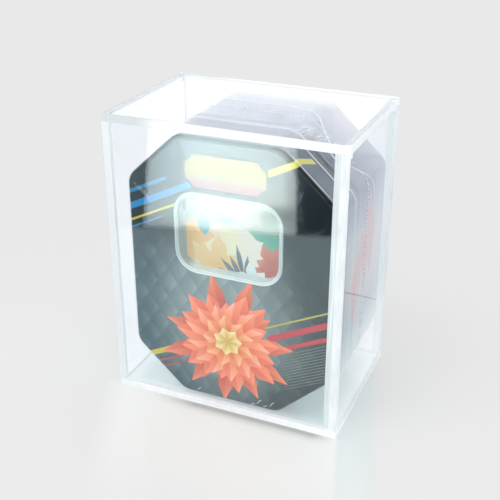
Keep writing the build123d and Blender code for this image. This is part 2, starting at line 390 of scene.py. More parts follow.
# %% Ground of the front
def printed_ground(flat, y, mottle):
    """Diamonds, cooler on the left, under three soft clouds, the lowest of them painted light, and the
    painted dark lines round the face.
    """
    x, _, z = add("SeparateXYZ", [flat], out=None).outputs
    tone = diamonds(x, z)
    cool = ramp(tone, (0, "1B3942"), (0.4, "254850"), (1, "3C666E"))
    warm = ramp(tone, (0, "131B1D"), (0.5, "1C2627"), (1, "3A4644"))
    ground = paint(cool, warm, add("MapRange", [x, -60, 30]))
    ground = paint(ground, "04131A", add("MapRange", [z, -10, 30, 0, 0.88]))
    # the lowest cloud is painted light, standing in for the film's reflections over the lower half of the
    # front
    for middle, size, tint, most in (
        ((PLAQUE_X, 0, PLAQUE_Z - 6), (50, 1, 46), "3A5256", 0.65),
        ((-3, 0, 84), (44, 1, 18), "6A7876", 0.35),
        ((-4, 0, -26), (56, 1, 72), ramp(tone, (0, "7C8C8E"), (1, "9EA69E")), 0.9),
    ):
        near = add("VectorMath", [flat, middle], "SUBTRACT")
        near = add("VectorMath", [near, size], "DIVIDE")
        near = add("VectorMath", [near], "LENGTH", out="Value")
        near = add("Math", [mottle, 0.5, near], "MULTIPLY_ADD")
        cloud = add("MapRange", [near, 0.55, 1.4, most, 0], interpolation_type="SMOOTHSTEP")
        ground = paint(ground, tint, cloud)
    wall = add("MapRange", [y, FACE_Y + 2, FACE_Y + 3, 0, 0.9])
    for height, half, soft, tint in ((80, 30, 3, "2C4856"), (96, 9, 1.5, "6A7494")):
        ground = paint(ground, tint, both(wall, band(z, height, half, soft)))
    # painted shade: two dark lines along the upper chamfers stand in for the dark reflections beside the
    # edge's highlight
    ground = paint(ground, "03080A", chamfer_line(x, y, z, *EDGE_SHADE_LINE))
    ground = paint(ground, "10181C", chamfer_line(x, y, z, 4.1, 0.6))
    return ground


# %% Stripes
STRIPE_SLOPE = math.radians(26)
PIN_PITCH = 1.9
# offset from the tin's middle across the slope, half width, from x, to x, colour
STRIPES = [
    (71.5, 1.1, -70, -40, "0A78A4"), (62.8, 2, -70, -22, "0C7CB4"), (54.6, 0.7, -70, -30, "BDB13A"),
    (50.2, 0.5, -70, -44, "0A78A4"), (53.7, 1.9, 22, 66, "D0C736"), (-36, 0.55, 14, 65.6, "B0A83C"),
    (-43.5, 2, 26, 65.6, "BE2430"), (-52, 1.4, 34, 65.6, "C02A2E"), (-34.5, 1.8, -70, -30, "CBB41C"),
    (-41, 0.6, -70, -24, "B83440"), (-45.6, 0.45, -70, -26, "B0343E"),
]


def with_stripes(colour, x, y, z):
    """Racing stripes at one slope, and a block of fine pinstripes at the lower right."""
    slant = both(z, math.cos(STRIPE_SLOPE))
    slant = add("Math", [x, -math.sin(STRIPE_SLOPE), slant], "MULTIPLY_ADD")
    lean = add("MapRange", [y, FACE_Y + 6, FACE_Y + 24, 0, 7.4])
    slant = add("Math", [slant, lean], "ADD")
    for offset, half, start, end, code in STRIPES:
        reach = band(x, (start + end) / 2, (end - start) / 2, 0.6)
        colour = paint(colour, code, both(band(slant, offset, half), reach))
    pins = add("Math", [slant, PIN_PITCH], "DIVIDE")
    pins = band(add("Math", [pins], "FRACT"), 0.5, 0.13, 0.06)
    block = both(band(slant, -67, 12), band(x, 53, 16, 6))
    return paint(colour, "70776C", both(pins, block))


# %% Flower
FLOWER = (-1, 0, -44)
# petals, reach, half width, turn, how much the reach varies, and the two halves' colours from root to tip
RINGS = [
    (11, 52, 5.6, 0.35, 0.35, ("8E3A24", "D4583A", "F28E66"), ("7A3020", "C04A2C", "EC7650")),
    (17, 40, 7.6, 0.2, 0.30, ("C04C2C", "F0744A", "F89470"), ("A83C22", "E05C36", "F07C54")),
    (13, 31, 6.6, 0.6, 0.15, ("C8522C", "F48658", "FBB494"), ("B04424", "E86A40", "F6926A")),
    (9, 19.5, 5.6, 0.1, 0.10, ("D2602C", "F2945A", "F9C292"), ("B84E24", "E8783A", "F3A066")),
    (7, 10, 3.8, 0.4, 0, ("D8B250", "E8CE80", "F2E4B2"), ("C6963A", "E0BC60", "ECD694")),
]


def with_flower(colour, flat):
    """Five rings of petals, the widest first; each petal has a lighter and a darker half."""
    centred = add("VectorMath", [flat, FLOWER], "SUBTRACT")
    for *ring, light, dark in RINGS:
        mask, side, along = petals(centred, *ring)
        pale, deep = (ramp(along, *zip((0.15, 0.6, 1), tints)) for tints in (light, dark))
        colour = paint(colour, paint(deep, pale, side), mask)
    return colour


# %% Plaque
TICKET_HALF_W = 27
TICKET_HALF_H = 11.5
TICKET_BITE = 5
TICKET_RIM = 1.3


def with_plaque(colour, x, z):
    """A ticket with a round bite out of each corner: a dark rim, and a face of warm bands inside it."""
    up = add("Math", [z, PLAQUE_Z], "SUBTRACT")
    face = ramp(
        add("MapRange", [up, -11, 11]), (0, "94585C"), (0.27, "9A6E6C"), (0.28, "988A6C"), (0.5, "9E8C48"),
        (0.8, "A08E4A"), (1, "9A8A62"),
    )
    corner = add("CombineXYZ", [
        add("Math", [aside(x, PLAQUE_X), TICKET_HALF_W], "SUBTRACT"),
        add("Math", [aside(up), TICKET_HALF_H], "SUBTRACT"),
    ])
    far = add("VectorMath", [corner], "LENGTH", out="Value")
    for inset, fill in ((0, "141C30"), (TICKET_RIM, face)):
        wide, tall = band(x, PLAQUE_X, TICKET_HALF_W - inset), band(up, 0, TICKET_HALF_H - inset)
        uncut = add("Math", [far, TICKET_BITE + inset], "GREATER_THAN")
        colour = paint(colour, fill, both(both(wide, tall), uncut))
    return colour


# %% Side
# washes over the side: from y, to y, share there and there, middle z, half height, softness, colour
WASHES = [
    (-14, -4, 0.9, 0, 72, 14, 3, "1E2836"), (5, 40, 0, 0.5, 0, 200, 1, "DCD4D8"),
    (-14, 4, 0.6, 0, -12, 48, 12, "AECCCC"), (29, 39, 0, 0.8, 96, 10, 2, "F6F8FC"),
]
# flames: middle y, middle z, half width, half height, tilt
FLAMES = [(13, 20, 12, 32, 0.12), (-13, -6, 11, 27, -0.1), (1, 8, 8, 22, 0.35)]


def printed_side(x, y, z, mottle):
    """Pale at the foot and slate at the top, with three coral flames and a dark rule on the right side."""
    height = add("MapRange", [z, -88, 88, -0.1, 0.9])
    height = add("Math", [mottle, 0.2, height], "MULTIPLY_ADD")
    ink = ramp(
        height, (0.15, "B2D0CC"), (0.3, "BAC8C4"), (0.42, "F2DCD8"), (0.53, "F4DCD6"), (0.62, "DCCCCE"),
        (0.7, "ACA6B6"), (0.77, "7C829C"), (0.85, "586080"), (0.97, "7A84A0"), (1, "A6AEC2"),
    )
    for *reach, middle, half, soft, tint in WASHES:
        ink = paint(ink, tint, both(add("MapRange", [y, *reach]), band(z, middle, half, soft)))
    right = add("Math", [x, 20], "GREATER_THAN")
    for flame_y, flame_z, half, tall, tilt in FLAMES:
        up = add("Math", [z, flame_z], "SUBTRACT")
        off = aside(add("Math", [up, tilt, y], "MULTIPLY_ADD"), flame_y)
        room = add("Math", [aside(up), -half / tall, half], "MULTIPLY_ADD")
        room = add("Math", [room, off], "SUBTRACT")
        mask = both(add("MapRange", [room, -0.3, 0.3]), right)
        ink = paint(ink, "F0958C", both(mask, 0.75))
    rule = band(add("Math", [y, 0.57, z], "MULTIPLY_ADD"), -19, 0.5, 0.15)
    return paint(ink, "22262E", both(rule, both(right, band(y, 0, 42))))


# %% The whole print
def print_colour():
    """The whole print, with the mottle and the place that the varnish goes by."""
    place, x, y, z = millimetres((TIN_X, 0, TIN_Z))
    # ink mottle in patches of 20 mm
    mottle = add("TexNoise", {"Vector": place, "Scale": 0.05, "Detail": 4, "Roughness": 0.6})
    flat = add("CombineXYZ", {"X": x, "Z": z})
    face = printed_ground(flat, y, mottle)
    face = with_stripes(face, x, y, z)
    face = with_flower(face, flat)
    face = with_plaque(face, x, z)
    depth = add("MapRange", [y, -25.8, -24.8])
    upright = add("MapRange", [y, FACE_Y + 1, FACE_Y + 12, 0, 0.8])
    upright = both(upright, band(z, 0, 56, 6))
    depth = add("Math", [depth, upright], "MAXIMUM")
    return paint(face, printed_side(x, y, z, mottle), depth), mottle, place


# %% Varnish over the print
def tinplate():
    """Printed tinplate under a varnish, which is left off along the painted dark line round the upper
    chamfers so that no reflection lightens it.
    """
    material = new_material("lithographed_tinplate_varnished")
    colour, mottle, place = print_colour()
    # the varnish's orange peel, about 1 mm across
    peel = add("TexNoise", {"Vector": place, "Scale": 0.9, "Detail": 2})
    parts = add("SeparateXYZ", [place], out=None).outputs
    # the painted shade line round the upper chamfers, where the varnish is left off
    line = chamfer_line(*parts, *EDGE_SHADE_LINE)
    return finished(material, add("BsdfPrincipled", {
        "Base Color": colour, "Roughness": add("MapRange", [mottle, 0, 1, 0.28, 0.42]),
        "IOR": 1.5, "Specular IOR Level": 0.2, "Coat Roughness": 0.06,
        "Coat Weight": add("MapRange", [line, 0, 1, 0.8, 0]),
        "Normal": add("Bump", {"Height": peel, "Strength": 0.015, "Distance": 0.0001}),
    }))


dress(tinplate(), "tin_lid", "tin_base")

# %% [markdown]
# ## The window: moulded frame, pane and bezel
#
# The window is a clear moulding with a rounded bead that stands proud of the tin. Its bead is given a pale
# satin along its crest, a painted highlight, while the flat pane behind it is nearly invisible. The bezel
# and the riser are white board.


# %% Window plastics and board
WINDOW_Z = 121.1
BEAD_W = 71
BEAD_H = 54
BEAD_R = 15


def crest_highlight_mask(x, z):
    """Where the bead gets a pale satin as a painted highlight: along its crest, and more faintly on its
    inner flank.
    """
    sides = []
    for value, half in ((x, BEAD_W / 2), (z, BEAD_H / 2)):
        off = add("Math", [aside(value), half - BEAD_R], "SUBTRACT")
        sides.append(add("Math", [off, 0], "MAXIMUM"))
    far = add("VectorMath", [add("CombineXYZ", sides)], "LENGTH", out="Value")
    crest = both(band(far, BEAD_R - 0.9, 0.5, 0.3), 0.85)
    flank = both(band(far, BEAD_R - 2, 2, 0.4), 0.55)
    return add("Math", [crest, flank], "MAXIMUM")


def moulded(name, tint, roughness, crest=False):
    """Clear moulding; on the frame the bead gets a pale satin as a painted highlight, whitest along its
    crest.
    """
    material = new_material(name)
    place, x, _, z = millimetres((TIN_X, 0, WINDOW_Z))
    # flow marks 4 mm apart
    flow = add("TexNoise", {"Vector": place, "Scale": 0.25, "Detail": 2})
    body = add("BsdfPrincipled", {
        "Base Color": ramp(flow, (0.3, tint), (0.7, "F9FCFC")), "Roughness": roughness,
        "IOR": ACRYLIC_IOR, "Transmission Weight": 1,
        "Normal": add("Bump", {"Height": flow, "Strength": 0.05, "Distance": 0.0002}),
    })
    if crest:
        # painted highlight: the satin is paler along the bottom of the bead
        low = add("MapRange", [z, -14, -26])
        satin = paint(ramp(flow, (0.3, "B9C7C4"), (0.7, "C6D2CF")), "EEF6F2", low)
        white = add("BsdfPrincipled", {"Base Color": satin, "Roughness": 0.25, "IOR": ACRYLIC_IOR})
        body = add("MixShader", [crest_highlight_mask(x, z), body, white])
    clear = add("BsdfTransparent", {"Color": "F4F8F8"})
    return finished(material, open_to_lamps(body, clear))


# %% Board
def board():
    """Uncoated white board with visible fibre, in shade at the left of the window."""
    material = new_material("white_folding_board")
    place, x, *_ = millimetres()
    # fibre of 0.6 mm; the real one is finer, too fine to show
    fibre = add("TexNoise", {"Vector": place, "Scale": 1.6, "Detail": 5})
    shaded = add("MapRange", [x, TIN_X - 24, TIN_X - 29, 0, 0.75])
    face = paint(ramp(fibre, (0.35, "E4EAE9"), (0.65, "F0F4F3")), "8C9692", shaded)
    bump = add("Bump", {"Height": fibre, "Strength": 0.15, "Distance": 0.0001})
    sheet = add("BsdfPrincipled", {"Base Color": face, "Roughness": 0.6, "Normal": bump})
    return finished(material, sheet)


dress(moulded("clear_moulding_bead", "F2F8F6", 0.03, crest=True), "window_frame")
dress(moulded("clear_sheet_pane", "F2FAFA", 0.01), "window_pane")
dress(board(), "card_bezel", "card_riser")


# %% [markdown]
# ## The card in the window
#
# The card is offset-printed with a generic picture: a pastel wash with a few sprigs of leaves. It is
# darkened towards the top with painted shade, where a reflection lies over it. Each sprig is a ring of leaf
# shapes from the same function as the flower, laid over the wash as a screen printer lays one ink over
# another.


# %% Printed card
# sprigs: middle, leaves, reach, half width, turn, how much the reach varies, colours of root and tip
SPRIGS = [
    ((-34, 0, -6), 9, 26, 5, 0.35, 0.3, "F8B868", "FCD098"),
    ((30, 0, 2), 7, 22, 5.4, 0.1, 0.3, "46A084", "74BEA4"),
    ((-9, 0, -30), 9, 30, 5.6, 0.2, 0.35, "F8BE70", "FCD6A0"),
    ((-20, 0, 14), 5, 27, 4.2, 0.7, 0.3, "52A2AE", "84C2C6"),
    ((8, 0, -34), 22, 30, 1.7, 0.25, 0.6, "44546C", "6C7C8C"),
    ((27, 0, -20), 9, 20, 4.4, 0.6, 0.35, "CC4E34", "E88C6C"),
    ((14, 0, -31), 7, 15, 3.6, 0.45, 0.3, "DCE8E6", "F2F6F4"),
]


def card_print():
    """A pastel wash with the sprigs over it, under a thin gloss."""
    material = new_material("offset_printed_card")
    place, x, _, z = millimetres((TIN_X, 0, WINDOW_Z))
    # a wash in patches of 20 mm
    wash = add("TexNoise", {"Vector": place, "Scale": 0.05, "Detail": 3, "Distortion": 0.8})
    across = add("Math", [wash, 40, x], "MULTIPLY_ADD")
    colour = ramp(
        add("MapRange", [across, -14, 54]), (0, "F6CFA0"), (0.22, "FBE0CE"), (0.4, "FCEEC0"),
        (0.6, "FCEADA"), (0.8, "F8ECD6"), (1, "D4E2CC"),
    )
    flat = add("CombineXYZ", {"X": x, "Z": z})
    for middle, *ring, root, tip in SPRIGS:
        centred = add("VectorMath", [flat, middle], "SUBTRACT")
        mask, _, along = petals(centred, *ring)
        leaf = ramp(along, (0.3, root), (1, tip))
        colour = paint(colour, leaf, both(mask, 0.95))
    # painted shade: darker towards the top, under the reflection that lies over the window
    colour = paint(colour, "A4A296", add("MapRange", [z, 1, 6, 0, 0.8]))
    return finished(material, add("BsdfPrincipled", {
        "Base Color": colour, "Roughness": 0.35, "Coat Weight": 0.5, "Coat Roughness": 0.1,
    }))


dress(card_print(), "display_card", "info_card")


# %% [markdown]
# ## What is packed inside
#
# Behind the bezel are a thermoformed tray and five foil packs. They don't show while the film is on, but
# the part has them, so they get their real finishes too.


# %% Tray and foil packs
def tray_plastic():
    """White polystyrene, a little uneven from being drawn."""
    material = new_material("white_polystyrene_formed")
    place, *_ = millimetres()
    # marks of the forming, 12 mm apart
    drawn = add("TexNoise", {"Vector": place, "Scale": 0.08, "Detail": 2})
    tone = ramp(drawn, (0.3, "E4E6E6"), (0.7, "EFF0EF"))
    return finished(material, add("BsdfPrincipled", {"Base Color": tone, "Roughness": 0.32, "IOR": 1.59}))


def pack_foil():
    """Crushed metallised foil with crimped ends."""
    material = new_material("metallised_pack_foil")
    place, *_ = millimetres((TIN_X, 0, TIN_Z))
    # crimps 0.6 mm apart, and creases of 8 mm
    bands = {"wave_type": "BANDS", "bands_direction": "X"}
    crimp = add("TexWave", {"Vector": place, "Scale": 0.5}, out="Fac", **bands)
    crush = add("TexNoise", {"Vector": place, "Scale": 0.12, "Detail": 4})
    height = add("Math", [crimp, 0.3, crush], "MULTIPLY_ADD")
    return finished(material, add("BsdfPrincipled", {
        "Base Color": ramp(crush, (0.3, "2F6FA8"), (0.55, "7FB2CF"), (0.75, "C9D6DC")),
        "Metallic": 0.85, "Roughness": 0.28,
        "Normal": add("Bump", {"Height": height, "Strength": 0.4, "Distance": 0.0006}),
    }))


dress(tray_plastic(), "pack_tray")
dress(pack_foil(), *[f"booster_pack_{n}" for n in range(1, 6)])

# %% [markdown]
# ## The shrink film
#
# A tube of thin clear film is pulled over the tin, welded round its side and shrunk with hot air. It lies
# tight on the flats and gathers in small pleats where the outline turns. The mesh is one closed skin: rings
# of points that follow the tin's outline, pushed outwards in pleats near the corners.

# %% Outline of the tin
HALF_W = 66.5
HALF_H = 88.5
FLAT_X = 33
FLAT_Z = 57.5
CORNER_R = 12
STEP = 1.6
CORNERS = [
    (HALF_W, -FLAT_Z), (HALF_W, FLAT_Z), (FLAT_X, HALF_H), (-FLAT_X, HALF_H),
    (-HALF_W, FLAT_Z), (-HALF_W, -FLAT_Z), (-FLAT_X, -HALF_H), (FLAT_X, -HALF_H),
]


def outline():
    """Points round the octagon with rounded corners, as (x, z, normal x, normal z), about a step apart."""
    corners = [Vector(corner) for corner in CORNERS]
    count = len(corners)
    arcs = []
    for i, here in enumerate(corners):
        before, after = corners[i - 1], corners[(i + 1) % count]
        into = (here - before).normalized()
        turn = into.angle(after - here)
        cut = CORNER_R * math.tan(turn / 2)
        normal = Vector((into.y, -into.x))
        arcs.append((here - into * cut - normal * CORNER_R, math.atan2(normal.y, normal.x), turn))
    points = []
    for i, (centre, angle, turn) in enumerate(arcs):
        pieces = max(3, round(CORNER_R * turn / STEP))
        for k in range(pieces + 1):
            bearing = angle + turn * k / pieces
            n = Vector((math.cos(bearing), math.sin(bearing)))
            points.append((*(centre + n * CORNER_R), *n))
        next_centre, next_angle, _ = arcs[(i + 1) % count]
        n = Vector((math.cos(next_angle), math.sin(next_angle)))
        start, end = Vector(points[-1][:2]), next_centre + n * CORNER_R
        pieces = max(2, round((end - start).length / STEP))
        points += [(*start.lerp(end, k / pieces), *n) for k in range(1, pieces)]
    return points


rim = outline()
print("outline points:", len(rim))


# %% Pleats
def pleat(x, y, z):
    """How far a pleat lifts the film here: narrow ridges that fan out from the octagon's corners."""
    lift = 0
    for (corner_x, corner_z), seed in zip(CORNERS, (5.9, 2.3, 1, 3.1, 4.7, 9.7, 8.3, 7.1)):
        dx, dz = x - corner_x, z - corner_z
        near = math.exp(-(dx * dx + dz * dz) / 220)
        if near < 0.02:
            continue
        turn = math.atan2(dz, dx)
        wave = math.sin(turn * 9 + seed * 3 + 0.12 * y) + 0.6 * math.sin(turn * 17 + seed * 5 - 0.2 * y)
        lift += near * max(0, wave - 0.35) * 0.5
    return lift


# %% The film's skin
FILM_CLEAR = 0.07
BACK_Y = 43.8
FACE_ROUND = 1.6
BACK_ROUND = 2.5
CURL_Y = -15.7
FRONT_SHARES = (0.06, 0.2, 0.35, 0.5, 0.62, 0.72, 0.8, 0.86, 0.9, 0.93, 0.96, 0.98)
BACK_SHARES = (0.97, 0.92, 0.8, 0.6, 0.35, 0.1)


def film_point(kind, value, y, edge, x, z, nx, nz):
    """One point of the film, in metres, from its row and a point of the outline.

    A row has a kind, its share of the face or its angle round the edge, its y, and the edge's radius,
    which is less than zero at the back.
    """
    grow, inset, scale = FILM_CLEAR, 0, 1
    if kind == "face":
        grow, inset, scale = 0, abs(edge), value
    elif kind == "round":
        inset, y = abs(edge) * (1 - math.sin(value)), y + edge * (1 - math.cos(value))
    px, pz = (x - nx * inset) * scale, (z - nz * inset) * scale
    lift = pleat(px, y, pz)
    if kind == "face":
        y -= math.copysign(0.35, edge) * lift * (value > 0.5)
    elif kind == "side":
        fade = 1 if nz > -0.9 else 0
        curl = 0.5 * math.exp(-(((y - CURL_Y) / 1.6) ** 2))
        grow += curl * fade + 0.6 * lift * fade
    else:
        grow += 0.3 * lift
    if nz < -0.95:
        grow = min(grow, FILM_CLEAR)
    return ((px + nx * grow + TIN_X) * MM, y * MM, (pz + nz * grow + TIN_Z) * MM)


def film(material):
    """The film as one closed skin round the tin: rows of points from the front's middle to the back's."""
    front, back = FACE_Y - 0.85, BACK_Y + FILM_CLEAR
    quarter = [math.radians(90 * k / 4) for k in range(5)]
    rows = [("face", share, front, FACE_ROUND) for share in FRONT_SHARES]
    rows += [("round", angle, front, FACE_ROUND) for angle in quarter]
    rows += [("side", 0, -41 + STEP * k, 0) for k in range(52)]
    rows += [("round", angle, back, -BACK_ROUND) for angle in reversed(quarter)]
    rows += [("face", share, back, -BACK_ROUND) for share in BACK_SHARES]
    mesh = bmesh.new()
    grid = [[mesh.verts.new(film_point(*row, *point)) for point in rim] for row in rows]
    count = len(rim)
    for lower, upper in zip(grid, grid[1:]):
        for k in range(count):
            n = (k + 1) % count
            mesh.faces.new((lower[k], lower[n], upper[n], upper[k]))
    for ring in (grid[0], grid[-1]):
        hub = mesh.verts.new(sum((v.co for v in ring), Vector()) / count)
        for k in range(count):
            mesh.faces.new((hub, ring[k], ring[(k + 1) % count]))
    for face in mesh.faces:
        face.smooth = True
    return skinned("film_skin", mesh, material)


# %% Clear film
def film_material(name="shrink_film_polyolefin", haze=0.004, top_haze=None, punched_light_and_shade=False):
    """Clear film: it passes nearly all light, and adds a thin sharp gloss that grows towards grazing."""
    material = new_material(name)
    place, x, y, z = millimetres((TIN_X, 0, TIN_Z))
    # creases of 8 mm
    crease = add("TexNoise", {"Vector": place, "Scale": 0.12, "Detail": 4, "Distortion": 1.5})
    bump = add("Bump", {"Height": crease, "Strength": 0.05, "Distance": 0.0006})
    shine = add("BsdfGlossy", {"Color": "FFFFFF", "Roughness": 0.05, "Normal": bump})
    clear = add("BsdfTransparent", {"Color": "FCFDFE"})
    edge_on = add("LayerWeight", {"Blend": 0.5, "Normal": bump}, out="Facing")
    edge_on = add("Math", [edge_on, 6], "POWER")
    gloss = add("Math", [edge_on, 1, 0.05], "MULTIPLY_ADD", use_clamp=True)
    # no gloss on the line round the upper chamfers, so the painted dark line beneath stays dark
    line = chamfer_line(x, y, z, 0.2, 1)
    gloss = both(gloss, add("MapRange", [line, 0, 1, 1, 0]))
    skin = add("MixShader", [gloss, clear, shine])
    tone = "E8ECF2"
    if punched_light_and_shade:
        # painted light and shade: the burrs are white and dark grey by turns, in cells of 1.3 mm
        lit_and_shaded_cells = add("TexChecker", {"Vector": place, "Scale": 1 / 1.3}, out="Fac")
        tone = paint("FAFCFF", "7E8494", lit_and_shaded_cells)
    if top_haze is not None:
        haze = add("MapRange", [z, 62, 88, haze, top_haze])
    skin = add("MixShader", [haze, skin, add("BsdfDiffuse", {"Color": tone})])
    return finished(material, open_to_lamps(skin, clear))


film_skin = film(film_material())
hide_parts("shrink_film")
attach(film_skin, "tin")
print("film faces:", len(film_skin.data.polygons))

# %% [markdown]
# ## What repeats on the film: perforations, folds and the weld
#
# Shrink film is perforated round the pack so that the air can leave, and it gathers in small folds where it
# turns a corner. A weld runs round the side, and the film stands off along the lid's rolled edge. The weld
# is drawn as a white strand only where it shows as a highlight, so it is partly a painted highlight, and
# white strands along the lid's edge and the face's upper right edge are painted highlights. The perforations
# are one small burr, copied along a path with Geometry Nodes. The folds and the weld are paths that another
# node group gives a round section.


# %% Paths on the film
def path_piece(name, paths):
    """Loose edges along some paths in millimetres, with each point's outward direction as an attribute."""
    points, edges, outward = [], [], []
    for path in paths:
        edges += [(len(points) + k, len(points) + k + 1) for k in range(len(path) - 1)]
        points += [[c * MM for c in point] for point, _ in path]
        outward += [direction for _, direction in path]
    data = bpy.data.meshes.new(name)
    data.from_pydata(points, edges, [])
    kept = data.attributes.new("outward", "FLOAT_VECTOR", "POINT")
    kept.data.foreach_set("vector", [c for direction in outward for c in direction])
    return placed(name, data)


# %% Rings: the perforations, the weld and the painted highlight along the lid's edge
PERFORATION_Y = 2.2
WELD_Y = 16.3
LID_HIGHLIGHT_Y = -23.6


def ring_path(depth, grow, low=-HALF_H):
    """A path round the tin above some height; depth gives y from x and z about the tin's middle."""
    start = next(k for k, point in enumerate(rim) if point[3] > -0.9 and rim[k - 1][3] <= -0.9)
    return [
        ((x + nx * grow + TIN_X, depth(x, z), z + nz * grow + TIN_Z), (nx, 0, nz))
        for x, z, nx, nz in rim[start:] + rim[:start] if nz > -0.9 and z > low
    ]


def weld_depth(x, z):
    """The weld runs round the side, and is dragged forward at the upper right chamfer."""
    drag = math.exp(-(((x - 52) / 22) ** 2) - ((z - 72) / 22) ** 2)
    return WELD_Y + 3 * math.sin(z / 40) - 24 * drag


# %% Folds
# small folds below the window: x, z, reach
SMALL_FOLDS = [(22, 8.5, 4), (26.5, 7.6, 3), (18, 7.4, 3.2), (31, 9, 3.6), (-20, 8, 3)]


def chamfer_folds(chance, side, count):
    """Short folds down one upper chamfer, most of them near its upper end and behind the face."""
    slope, normal = Vector((33.5, 0, -31)).normalized(), Vector((31, 0, 33.5)).normalized()
    start = Vector((FLAT_X + 0.5, 0, HALF_H + 0.1))
    paths = []
    for _ in range(count):
        run = chance.uniform(-2, 26)
        y = -22 + run * 0.9 + chance.uniform(-5, 7)
        length = chance.uniform(5, 13)
        lean, bend = chance.uniform(-0.15, 0.35), chance.uniform(-0.8, 0.8)
        path = []
        for t in (k / 8 for k in range(9)):
            along = max(run + lean * length * t + bend * math.sin(math.pi * t), -1)
            place = start + slope * along + normal * 0.12
            path.append((
                (side * place.x + TIN_X, y + length * t, place.z + TIN_Z), (side * normal.x, 0, normal.z),
            ))
        paths.append(path)
    return paths


def folds():
    """Folds on the upper chamfers and below the window, drawn from a fixed seed, and a white strand along
    the face's edge that is a painted highlight.
    """
    chance = random.Random(7)
    paths = chamfer_folds(chance, 1, 22) + chamfer_folds(chance, -1, 8)
    # a painted highlight: a straight white strand along the face's upper right edge
    first, last = Vector((FLAT_X + 2, 0, HALF_H - 1.8)), Vector((HALF_W - 1.8, 0, FLAT_Z + 2))
    edge = [first.lerp(last, k / 24) for k in range(25)]
    paths.append([((p.x + TIN_X, FACE_Y + 2.6, p.z + TIN_Z), (0.5, -0.7, 0.5)) for p in edge])
    for x, z, reach in SMALL_FOLDS:
        lean = chance.uniform(0.4, 1.2)
        paths.append([
            ((x + reach * t / 8, FACE_Y - 0.95, z + lean * reach * math.sin(t / 5)), (0, -1, 0))
            for t in range(9)
        ])
    return paths


# %% Two node groups and their pieces
def node_group(name, sockets):
    """A geometry node group with a geometry in, and named inputs (name, type, value)."""
    group = bpy.data.node_groups.new(name, "GeometryNodeTree")
    work_on(group)
    for way in ("INPUT", "OUTPUT"):
        group.interface.new_socket("Geometry", in_out=way, socket_type="NodeSocketGeometry")
    for label, kind, value in sockets:
        socket = group.interface.new_socket(label, in_out="INPUT", socket_type="NodeSocket" + kind)
        socket.default_value = value
    return group, add("NodeGroupInput", out=None).outputs


def grouped(group, shape, material):
    """Ends a group: its copies made real, in one material."""
    real = add("GeometryNodeRealizeInstances", [shape])
    done = add("GeometryNodeSetMaterial", {"Geometry": real, "Material": material})
    add("NodeGroupOutput", [done], out=None)
    return group


def burr_group(material):
    """A small ring at even steps along each path, lying on the film."""
    group, given = node_group("burrs_along_path", [
        ("Spacing", "Float", 0.0024), ("Radius", "Float", 0.0005), ("Seed", "Int", 3),
    ])
    curve = add("GeometryNodeMeshToCurve", {"Mesh": given["Geometry"]})
    steps = add("GeometryNodeResampleCurve", {"Curve": curve, "Length": given["Spacing"]}, mode="LENGTH")
    hole = add("GeometryNodeCurvePrimitiveCircle", {"Resolution": 8, "Radius": given["Radius"]})
    wire = add("GeometryNodeCurvePrimitiveCircle", {"Resolution": 5, "Radius": 0.00026})
    outward = add("GeometryNodeInputNamedAttribute", {"Name": "outward"}, data_type="FLOAT_VECTOR")
    copies = add("GeometryNodeInstanceOnPoints", {
        "Points": steps,
        "Instance": add("GeometryNodeCurveToMesh", {"Curve": hole, "Profile Curve": wire}),
        "Rotation": add("FunctionNodeAlignRotationToVector", {"Vector": outward}, axis="Z"),
        "Scale": add("FunctionNodeRandomValue", {2: 0.7, 3: 1.2, "Seed": given["Seed"]}, out=1),
    })
    return grouped(group, copies, material)


def fold_group(material):
    """A round section that thins to both ends of each path."""
    group, given = node_group("folds_along_path", [("Thickness", "Float", 0.0002), ("Taper", "Float", 1)])
    arch = add("Math", [add("GeometryNodeSplineParameter"), math.pi], "MULTIPLY")
    arch = add("Math", [arch], "SINE")
    arch = add("Math", [arch, 0.15], "MAXIMUM")
    arch = add("Math", [arch, given["Taper"]], "POWER")
    swept = add("GeometryNodeCurveToMesh", {
        "Curve": add("GeometryNodeMeshToCurve", {"Mesh": given["Geometry"]}),
        "Profile Curve": add("GeometryNodeCurvePrimitiveCircle", {"Resolution": 6, "Radius": 1}),
        "Scale": add("Math", [arch, given["Thickness"]], "MULTIPLY"), "Fill Caps": True,
    })
    return grouped(group, swept, material)


# %% Growing a piece
def grown(piece, group, values, material):
    """Runs a node group on a piece, keeps the result as its plain mesh and gives it to the tin's body."""
    modifier = piece.modifiers.new("growth", "NODES")
    modifier.node_group = group
    for item in group.interface.items_tree:
        if item.name in values:
            modifier[item.identifier] = values[item.name]
    ready = piece.evaluated_get(bpy.context.evaluated_depsgraph_get())
    data = bpy.data.meshes.new_from_object(ready)
    piece.modifiers.clear()
    piece.data = data
    data.materials.clear()
    data.materials.append(material)
    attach(piece, "tin")
    print(piece.name, "faces:", len(data.polygons))


# %% Perforations, folds and weld
gathered_and_highlight = film_material("shrink_film_gathered_and_highlight", haze=0.85)
pressed_and_highlight = film_material("shrink_film_pressed_and_highlight", haze=0.7, top_haze=0.3)
perforated = film_material("shrink_film_perforated", haze=0.9, punched_light_and_shade=True)
burrs = burr_group(perforated)
strands = fold_group(gathered_and_highlight)
grown(
    path_piece("film_perforations", [ring_path(lambda x, z: PERFORATION_Y, FILM_CLEAR + 0.1)]),
    burrs, {"Spacing": 0.0026, "Radius": 0.0007, "Seed": 3}, perforated,
)
grown(path_piece("film_folds_and_edge_highlight", folds()), strands, {"Thickness": 0.0002, "Taper": 0.7}, gathered_and_highlight)
# the weld's white strand above some height, and a white strand along the lid's edge that is a painted
# highlight
grown(
    path_piece("film_weld_and_lid_highlight", [
        ring_path(weld_depth, FILM_CLEAR + 0.15, 12), ring_path(lambda x, z: LID_HIGHLIGHT_Y, 0.12, 20),
    ]),
    fold_group(pressed_and_highlight), {"Thickness": 0.0006, "Taper": 0.7}, pressed_and_highlight,
)

